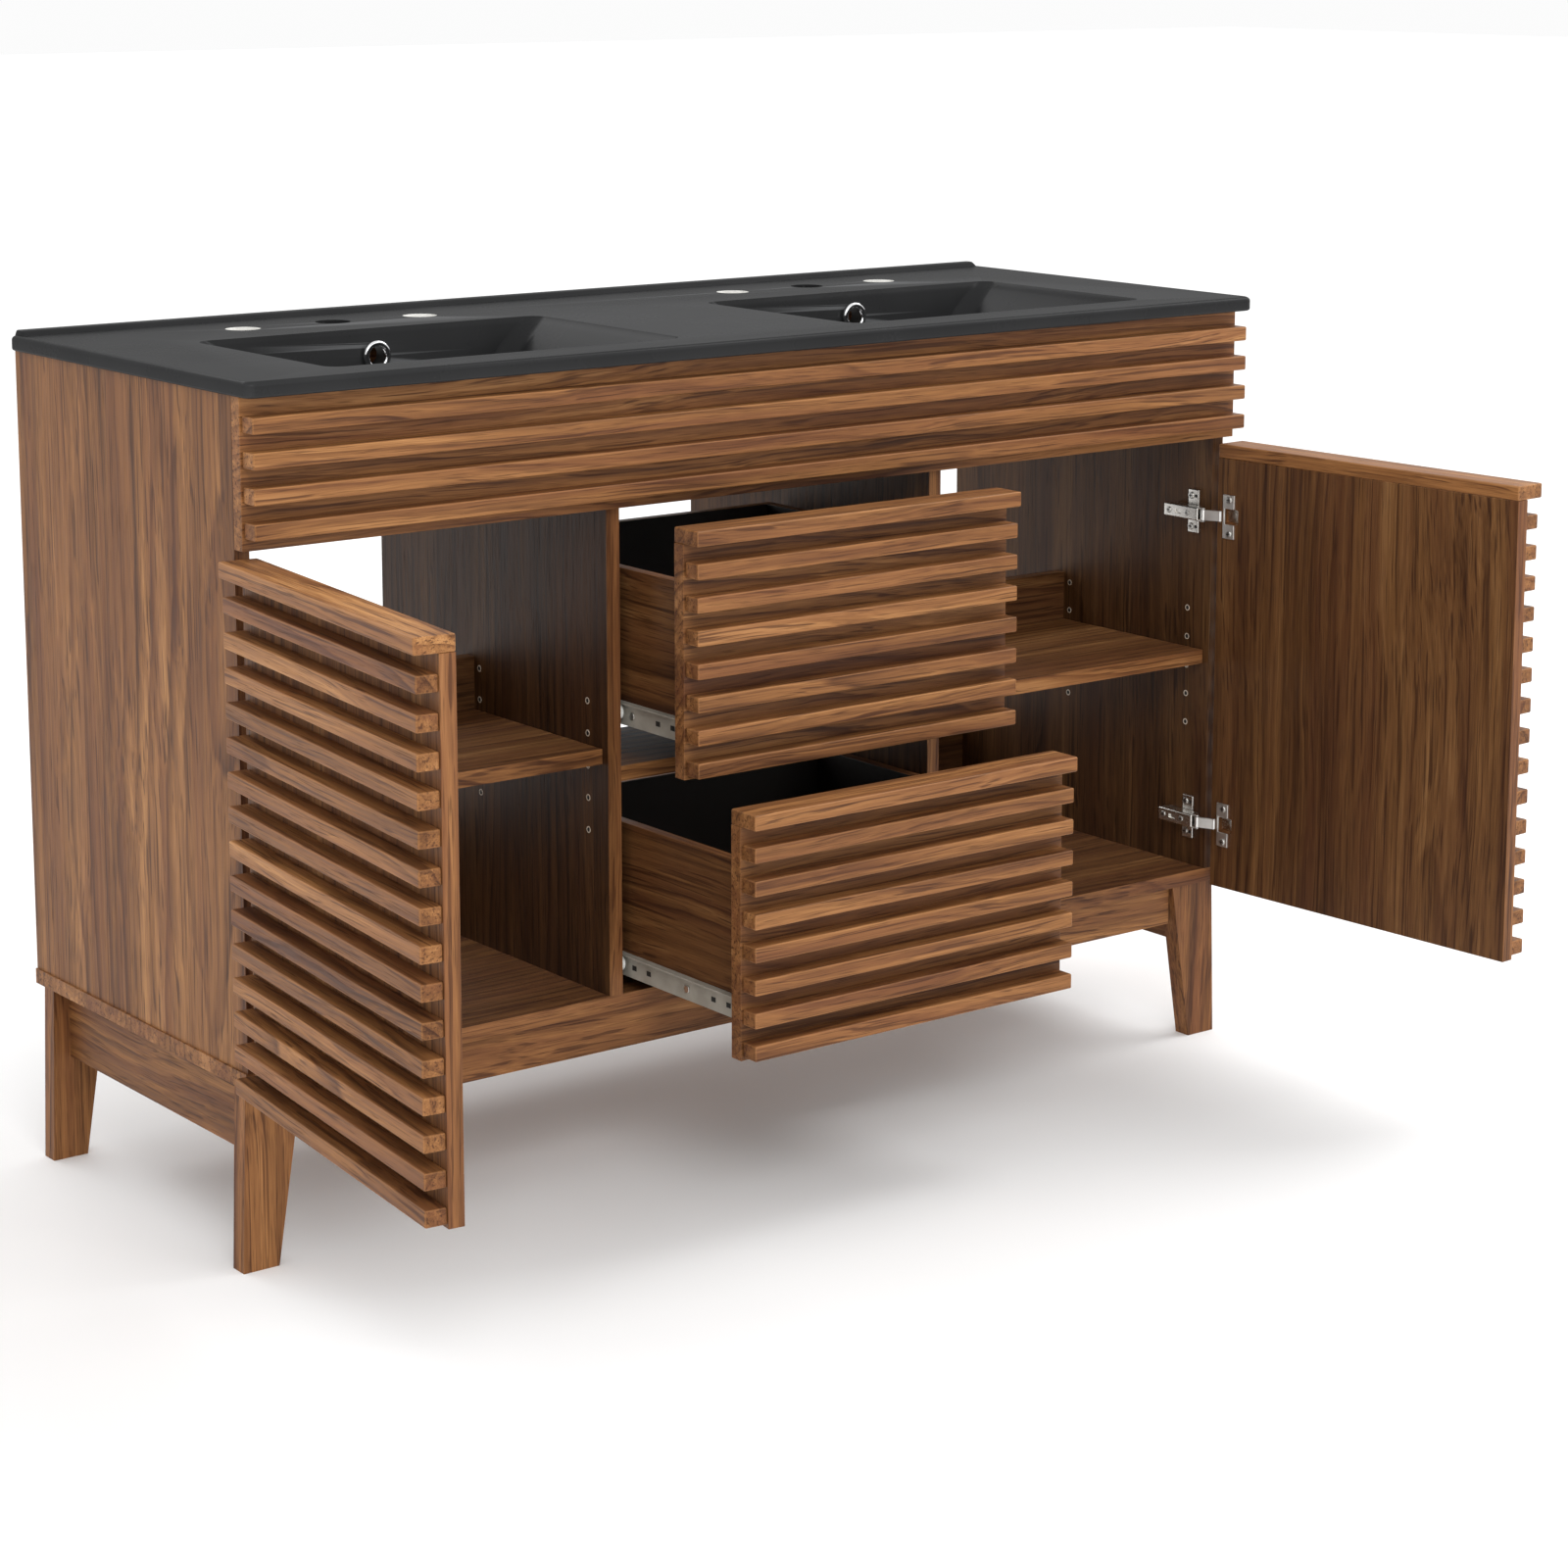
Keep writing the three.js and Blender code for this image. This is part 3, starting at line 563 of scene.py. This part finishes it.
# ------------------------------------------------------------------ drawers
for name, out, zb in (("upper", UPPER_OUT, 456.0), ("lower", LOWER_OUT, 205.0)):
    body, m = name + "_drawer", at(0, -out)
    zt, y0, y1 = zb + 152, 35.5, 385.5
    sd = 600 if name == "upper" else 650
    for side, sg in (("left", -1), ("right", 1)):
        # outer faces take the darker walnut as painted shade, top edges the full-tone walnut
        b = Builder().box(sg * 167, sg * 179, y0, y1, zb, zt, 0.8, 2, "y", sd + (3 if sg > 0 else 0),
                          mat=lambda f, s=sg: 1 if f.normal.x * s < -0.5 else (2 if f.normal.z > 0.5 else 0))
        b.make(f"{name}_drawer_{side}_board", [M_DRAWER_SHADE, M_DARK_INSIDE, M_CARC], body, m, "drawer_board", [f"{name}_drawer_{side}_side"])
    Builder().box(-167, 167, y1 - 12, y1, zb + 14, zt, 0.8, 2, "x", sd + 7,
                  mat=lambda f: 1 if f.normal.y < -0.5 else (2 if f.normal.z > 0.5 else 0)).make(
        f"{name}_drawer_back_board", [M_DRAWER_SHADE, M_DARK_INSIDE, M_CARC], body, m, "drawer_board", [f"{name}_drawer_back"])
    dress(f"{name}_drawer_bottom", M_DARK_INSIDE, 0.3)
    # dark inner face of the front, seen from above and behind
    Builder().box(-166.8, 166.8, y0 + 0.05, y0 + 1.2, zb + 14, zt - 1, 0.3, 1, "x", sd + 9).make(
        f"{name}_drawer_front_dark_inside", M_DARK_INSIDE, body, m, "drawer_lining")
    for side, sg in (("left", -1), ("right", 1)):
        dress(f"{name}_{side}_drawer_slide", M_SLIDE, 0.35, 1)
        dress(f"{name}_{side}_cabinet_slide", M_SLIDE, 0.35, 1)
        dress(f"{name}_{side}_slide_roller", M_ROLLER, 0.5, 2)
        xf = sg * 180.4
        # slots and screws of the drawer member
        b = Builder()
        for yy in (60, 84, 190, 214, 320, 344):
            b.box(xf, xf + sg * 0.25, yy, yy + 7, zb + 7, zb + 12, 0.12, 1)
        b.make(f"{name}_{side}_slide_slots", M_DARK, body, m, "slide_enamel")
        b = Builder()
        for yy in (130, 262):
            b.cyl(4.0, 1.2, "x", xf + sg * 0.7, yy, zb + 9.5, 20, 0.5, 2)
        b.make(f"{name}_{side}_slide_screws", M_SCREW, body, m, "nickel")
        Builder().cyl(8, 5.4, "x", sg * 184.6, y1 - 14, zb + 12.1, 32, 0.9, 3).cyl(2.4, 7.4, "x", sg * 184.4, y1 - 14, zb + 12.1, 16, 0.3, 1).make(
            f"{name}_{side}_rear_roller", M_ROLLER, body, m, "roller")

# ------------------------------------------------------------------ hinges
def screw_head(b, r, depth, axis, x, y, z, sg=1):
    b.cyl(r, depth, axis, x, y, z, 20, depth * 0.4, 2, mat=0)
    d = depth * 0.52
    if axis == "y":
        b.box(x - r * 0.6, x + r * 0.6, y + sg * d - 0.08, y + sg * d + 0.08, z - r * 0.13, z + r * 0.13, 0, mat=1)
        b.box(x - r * 0.13, x + r * 0.13, y + sg * d - 0.08, y + sg * d + 0.08, z - r * 0.6, z + r * 0.6, 0, mat=1)
    else:
        b.box(x + sg * d - 0.08, x + sg * d + 0.08, y - r * 0.6, y + r * 0.6, z - r * 0.13, z + r * 0.13, 0, mat=1)
        b.box(x + sg * d - 0.08, x + sg * d + 0.08, y - r * 0.13, y + r * 0.13, z - r * 0.6, z + r * 0.6, 0, mat=1)


for side, sg in (("left", -1), ("right", 1)):
    dm = door_matrix(side)
    for at_, z in (("upper", HINGE_Z[0]), ("lower", HINGE_Z[1])):
        tag = f"{side}_{at_}_hinge"
        dress(tag + "_link", M_LINK, 0.3, 2)
        # mounting plate with two wings, and the arm that slides over it
        b = Builder()
        b.box(sg * 586.2, sg * 589.95, 54, 70, z - 24, z + 24, 0.9, 2)
        b.box(sg * 584.2, sg * 589.95, 48, 92, z - 6.6, z + 6.6, 0.9, 2)
        b.make(tag + "_mounting_plate", M_NICKEL, "cabinet", None, "nickel", [tag + "_arm"])
        slots = [Builder().box(sg * 571, sg * 574.6, 67.5, 77.5, z - 2.3, z + 2.3, 0.6, 2), Builder().box(sg * 575.2, sg * 590, 40, 96, z - 4.9, z + 4.9, 0)]
        b = Builder()
        b.box(sg * 572.6, sg * 583.8, 42, 94, z - 7.2, z + 7.2, 1.5, 3)
        b.make(tag + "_sliding_arm", M_NICKEL, "cabinet", None, "nickel", cuts=slots)
        b = Builder()
        for dz in (-7.0, 7.0):
            b.box(sg * 574.2, sg * 577.3, 34.6, 44, z + dz - 0.6, z + dz + 0.6, 0.3, 2)
        b.cyl(1.3, 15.4, "z", sg * 576, 36, z, 20, 0.3, 1)
        b.make(tag + "_knuckle", M_LINK, "cabinet", None, "nickel")
        # screws of the plate, one pair on each wing, and the two adjusting screws
        b = Builder()
        for dz in (-17, 17):
            screw_head(b, 3.9, 1.8, "x", sg * 585.6, 65.2, z + dz, -sg)
            b.cyl(1.9, 0.5, "x", sg * 586.1, 57.8, z + dz, 16, 0.15, 1, mat=1)
        screw_head(b, 3.1, 1.6, "x", sg * 572.2, 58, z, -sg)
        screw_head(b, 3.4, 1.6, "x", sg * 572.2, 86, z, -sg)
        b.make(tag + "_arm_screws", [M_SCREW, M_DARK], "cabinet", None, "nickel")
        # flange plate on the door, thinner where it passes the side panel's edge
        b = Builder()
        for lo, hi in ((z - 24, z - 8.6), (z + 8.6, z + 24)):
            b.box(sg * 577, sg * 589.5, 35.52, 38.1, lo, hi, 0.5, 2)
            b.box(sg * 588.6, sg * 593.6, 35.52, 37.1, lo, hi, 0.45, 2)
        b.box(sg * 591.2, sg * 593.6, 35.52, 37.1, z - 9.4, z + 9.4, 0.45, 2)
        b.make(tag + "_flange", M_FLANGE, side + "_door", dm, "nickel", [tag + "_cup"])
        Builder().box(sg * 573.2, sg * 596.5, 24.25, 25.2, z - 8.1, z + 8.1, 0.35, 2).make(
            tag + "_cup_floor", M_NICKEL, side + "_door", dm, "nickel")
        b = Builder()
        for dz in (-18.5, 18.5):
            screw_head(b, 3.7, 1.8, "y", sg * 584.0, 38.7, z + dz, 1)
        b.make(tag + "_flange_screws", [M_SCREW, M_DARK], side + "_door", dm, "nickel")

# ------------------------------------------------------------------ shelf pins and their holes
def pin_rows(tag, xface, sg):
    b = Builder()
    for y in (72, 265):
        for z in (350, 382, 414, 446, 478):
            b.ring(3.4, 2.3, xface - 0.15 if sg > 0 else xface - 0.25, xface + 0.25 if sg > 0 else xface + 0.15, 0, 0, 20, 0.08)
            n = 20 * 16
            # turn the last ring from Y to X
            for i in range(len(b.v) - n, len(b.v)):
                vx, vy, vz = b.v[i]
                b.v[i] = (vy, y / 1000 + vx, z / 1000 + vz)
    b.make(tag + "_pin_sleeves", M_PIN, "cabinet", None, "roller")
    b = Builder()
    for y in (72, 265):
        for z in (350, 382, 414, 446, 478):
            b.cyl(2.3, 0.3, "x", xface, y, z, 16)
    b.make(tag + "_pin_holes", M_DARK, "cabinet", None, "walnut", weighted=False)
    b = Builder()
    for y in (72, 265):
        b.cyl(2.3, 8, "x", xface + sg * 4, y, 416.0, 16, 0.4, 2)
        b.cyl(3.6, 1.4, "x", xface + sg * 0.7, y, 415.6, 20, 0.4, 2)
    b.make(tag + "_shelf_pins", M_SCREW, "cabinet", None, "nickel")


pin_rows("left_side_panel", -590, 1)
pin_rows("left_divider", -206.7, -1)
pin_rows("right_divider", 206.7, 1)
pin_rows("right_side_panel", 590, -1)

# ------------------------------------------------------------------ ceramic top
def ring_pts(x0, x1, y0, y1, r, z, n=14):
    pts = []
    for cx, cy, a0 in ((x1 - r, y1 - r, 0), (x0 + r, y1 - r, 90), (x0 + r, y0 + r, 180), (x1 - r, y0 + r, 270)):
        for i in range(n + 1):
            a = math.radians(a0 + 90 * i / n)
            pts.append((cx + r * math.cos(a), cy + r * math.sin(a), z))
    return pts


def loft_obj(name, rings):
    bm = bmesh.new()
    rows = [[bm.verts.new(tuple(c / 1000 for c in p)) for p in r] for r in rings]
    n = len(rows[0])
    for a, b in zip(rows, rows[1:]):
        for i in range(n):
            bm.faces.new((a[i], a[(i + 1) % n], b[(i + 1) % n], b[i]))
    bm.faces.new(list(reversed(rows[0])))
    bm.faces.new(rows[-1])
    bmesh.ops.recalc_face_normals(bm, faces=bm.faces)
    me = bpy.data.meshes.new(name)
    bm.to_mesh(me)
    bm.free()
    o = bpy.data.objects.new(name, me)
    bpy.context.scene.collection.objects.link(o)
    return o


def fillet(x0, x1, y0, y1, r0, z_edge, rad, up, steps=6, inward=True):
    """Rings of a quarter-round between a vertical wall and a level face; the argument z_edge is not used."""
    out = []
    for i in range(steps + 1):
        a = math.radians(90 * i / steps)
        d = rad * (1 - math.sin(a)) if not inward else rad * (1 - math.cos(a))
        h = rad * (1 - math.cos(a)) if not inward else rad * (1 - math.sin(a))
        out.append((d, h))
    return out


HX, DEPTH, Z0, Z1 = 609.6, 470.0, 810.0, 825.0
rings = []
for i in range(5):
    a = math.radians(90 * i / 4)
    d, h = 2.5 * (1 - math.sin(a)), 2.5 * (1 - math.cos(a))
    rings.append(ring_pts(-HX + d, HX - d, d, DEPTH - d, 9, Z0 + h))
for i in range(8):
    a = math.radians(90 * i / 7)
    d, h = 4.5 * (1 - math.cos(a)), 4.5 * (1 - math.sin(a))
    rings.append(ring_pts(-HX + d, HX - d, d, DEPTH - d, 9, Z1 - h))
top = loft_obj("sink_top_glazed", rings)


lip = []
for i in range(9):                       # soft upstand along the back edge
    t = i / 8
    s = t * t * (3 - 2 * t)
    lip.append(ring_pts(-HX + 5 + 1.5 * s, HX - 5 - 1.5 * s, DEPTH - 26 + 13 * t, DEPTH - 0.8 - 2.6 * t * t, 3.5, Z1 - 2.0 + 6.6 * s, 14))
boolean(top, loft_obj("lip", lip), "UNION")
OUT = [(116, 52, 52, 14, 700), (90, 33, 33, 22, 706), (66, 16, 15, 26, 728), (46, 6, 5, 26, 760), (20, -1, -1, 26, 792), (-2, -5, -5, 24, 814)]
IN = [(122, 58, 58, 12, 712.2), (112, 50, 50, 16, 713.6), (100, 42, 42, 18, 717.4), (88, 33, 32, 20, 725.5), (78, 26, 24, 22, 736), (68, 20, 18.5, 22, 749.5),
      (58, 15, 14, 22, 765), (45.5, 11.6, 10.8, 21, 781), (33, 8.6, 8, 20, 797), (19.5, 5.8, 5.4, 19, 809.2), (10, 3.8, 3.7, 18, 817.3)]
for c in (-300, 300):
    x0, x1, y0, y1 = c - 196, c + 196, 50, 308
    boolean(top, loft_obj("bowl_out", [ring_pts(x0 + a, x1 - a, y0 + f, y1 - b, r, z) for a, f, b, r, z in OUT]), "UNION")
for c in (-300, 300):
    x0, x1, y0, y1 = c - 196, c + 196, 50, 308
    rings = [ring_pts(x0 + a, x1 - a, y0 + f, y1 - b, r, z) for a, f, b, r, z in IN]
    for i in range(1, 9):               # rounded rim
        t = math.radians(90 * i / 8)
        u = 1 - math.sin(t)
        rings.append(ring_pts(x0 + 8.2 * u ** 1.25, x1 - 8.2 * u ** 1.25, y0 + 3.4 * u, y1 - 3.4 * u, 16 + 2 * u, 825.2 - 6.6 * u))
    rings.append(ring_pts(x0, x1, y0, y1, 16, 836))
    boolean(top, loft_obj("bowl_in", rings), "DIFFERENCE")


def cyl_obj(r, length, axis, x, y, z, seg=48):
    b = Builder().cyl(r, length, axis, x, y, z, seg)
    me = bpy.data.meshes.new("cutter")
    me.from_pydata(b.v, [], b.f)
    o = bpy.data.objects.new("cutter", me)
    bpy.context.scene.collection.objects.link(o)
    return o


for c in (-300, 300):
    boolean(top, cyl_obj(22.5, 40, "z", c, 179, 712), "DIFFERENCE")
    boolean(top, cyl_obj(12.7, 40, "y", c, 310, 798.5, 40), "DIFFERENCE")
    for k in (-1, 0, 1):
        boolean(top, cyl_obj(17.7, 40, "z", c + k * 101.6, 381, 817), "DIFFERENCE")
top.data.materials.append(M_CERAMIC)
top.data.polygons.foreach_set("use_smooth", [True] * len(top.data.polygons))
top.data.set_sharp_from_angle(angle=math.radians(38))
bev = top.modifiers.new("holes", "BEVEL")
bev.width, bev.segments, bev.limit_method, bev.angle_limit = 0.0005, 3, "ANGLE", math.radians(60)
bev.harden_normals = False
wn = top.modifiers.new("weighted", "WEIGHTED_NORMAL")
wn.weight, wn.keep_sharp = 80, True
top.matrix_world = at()
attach(top, "cabinet")
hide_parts("sink_top")

for side, c in (("left", -300), ("right", 300)):
    # turned chrome ring in the overflow; its bore is dark as painted shade
    Builder().ring(15.2, 9.4, 293.9, 299.0, c, 798.5, 48, 1.9).ring(12.4, 9.7, 297.6, 314, c, 798.5, 48, 0.3, mat=1).make(
        f"{side}_overflow_trim", [M_CHROME, M_DARK], "cabinet", None, "chrome", [f"{side}_overflow_ring"])
    for k in (-1, 1):
        nm = "left" if k < 0 else "right"
        b = Builder().ring(17.68, 17.25, 810.4, 824.6, c + k * 101.6, 381, 48, 0.1, "z")
        b.make(f"{side}_basin_{nm}_hole_wall", M_BISQUE, "cabinet", None, "ceramic")

# ------------------------------------------------------------------ stage, light, camera
def stage_mat():
    m = Nodes("pale_floor")
    tc = m.add("ShaderNodeTexCoord")
    n = m.noise(tc.outputs["Object"], 3.0, 2.0, 0.5)
    m.link(m.ramp(n, [(0.3, (0.90, 0.90, 0.90)), (0.7, (0.92, 0.92, 0.92))]), m.bsdf.inputs["Base Color"])
    m.bsdf.inputs["Roughness"].default_value = 0.9
    m.bsdf.inputs["Specular IOR Level"].default_value = 0.1
    # the floor glows, more with distance from the cabinet, as painted light that whitens the far floor
    away = m.add("ShaderNodeVectorMath", operation="LENGTH")
    m.link(tc.outputs["Object"], away.inputs[0])
    m.bsdf.inputs["Emission Color"].default_value = (1.0, 1.0, 1.0, 1)
    m.link(m.maprange(away.outputs["Value"], 1.2, 4.5, 0.03, 0.22), m.bsdf.inputs["Emission Strength"])
    return m.mat


me = bpy.data.meshes.new("floor")
s = 30.0
me.from_pydata([(-s, -s, 0), (s, -s, 0), (s, s, 0), (-s, s, 0)], [], [(0, 1, 2, 3)])
me.materials.append(stage_mat())
floor = bpy.data.objects.new("floor", me)
bpy.context.scene.collection.objects.link(floor)


def area(name, loc, target, size, power, colour=(1, 1, 1)):
    d = bpy.data.lights.new(name, "AREA")
    d.shape = "RECTANGLE"
    d.size, d.size_y = size
    d.energy = power
    d.color = colour
    o = bpy.data.objects.new(name, d)
    o.location = loc
    o.rotation_euler = (Vector(target) - Vector(loc)).to_track_quat("-Z", "Y").to_euler()
    bpy.context.scene.collection.objects.link(o)
    return o


area("key", (-1.7, -3.3, 3.0), (0, 0, 0.45), (2.0, 1.6), 54)
area("front", (1.2, -4.2, 1.6), (0.1, 0, 0.45), (2.4, 1.6), 14)
area("right_high", (2.7, -0.5, 3.3), (0, 0, 0.8), (1.7, 2.4), 62)
area("back_high", (-0.5, 3.2, 3.2), (0, 0.1, 0.8), (2.6, 1.0), 30)

world = bpy.data.worlds.new("soft_world")
bpy.context.scene.world = world
world.use_nodes = True
bg = world.node_tree.nodes["Background"]
bg.inputs[0].default_value = (1.0, 1.0, 1.0, 1)
bg.inputs[1].default_value = 0.97

cam_data = bpy.data.cameras.new("camera")
cam = bpy.data.objects.new("camera", cam_data)
bpy.context.scene.collection.objects.link(cam)
yaw, pitch, roll = (math.radians(v) for v in (-37.394, 9.781, -0.002))
fwd = Vector((-math.sin(yaw) * math.cos(pitch), math.cos(yaw) * math.cos(pitch), -math.sin(pitch)))
right = Vector((math.cos(yaw), math.sin(yaw), 0))
up = right.cross(fwd)
rx = right * math.cos(roll) + up * math.sin(roll)
ry = up * math.cos(roll) - right * math.sin(roll)
rot = Matrix((rx, ry, -fwd)).transposed().to_4x4()
cam.matrix_world = Matrix.Translation(((-2118.8 + OX) / 1000, (-2742.1 + OY) / 1000, 1.2124)) @ rot
cam_data.sensor_width = 36.0
cam_data.lens = 3713.2 * 0.988 * 36.0 / 1600.0
cam_data.shift_y = -0.15
cam_data.clip_end = 200
bpy.context.scene.camera = cam
bpy.context.scene.view_settings.view_transform = "Standard"
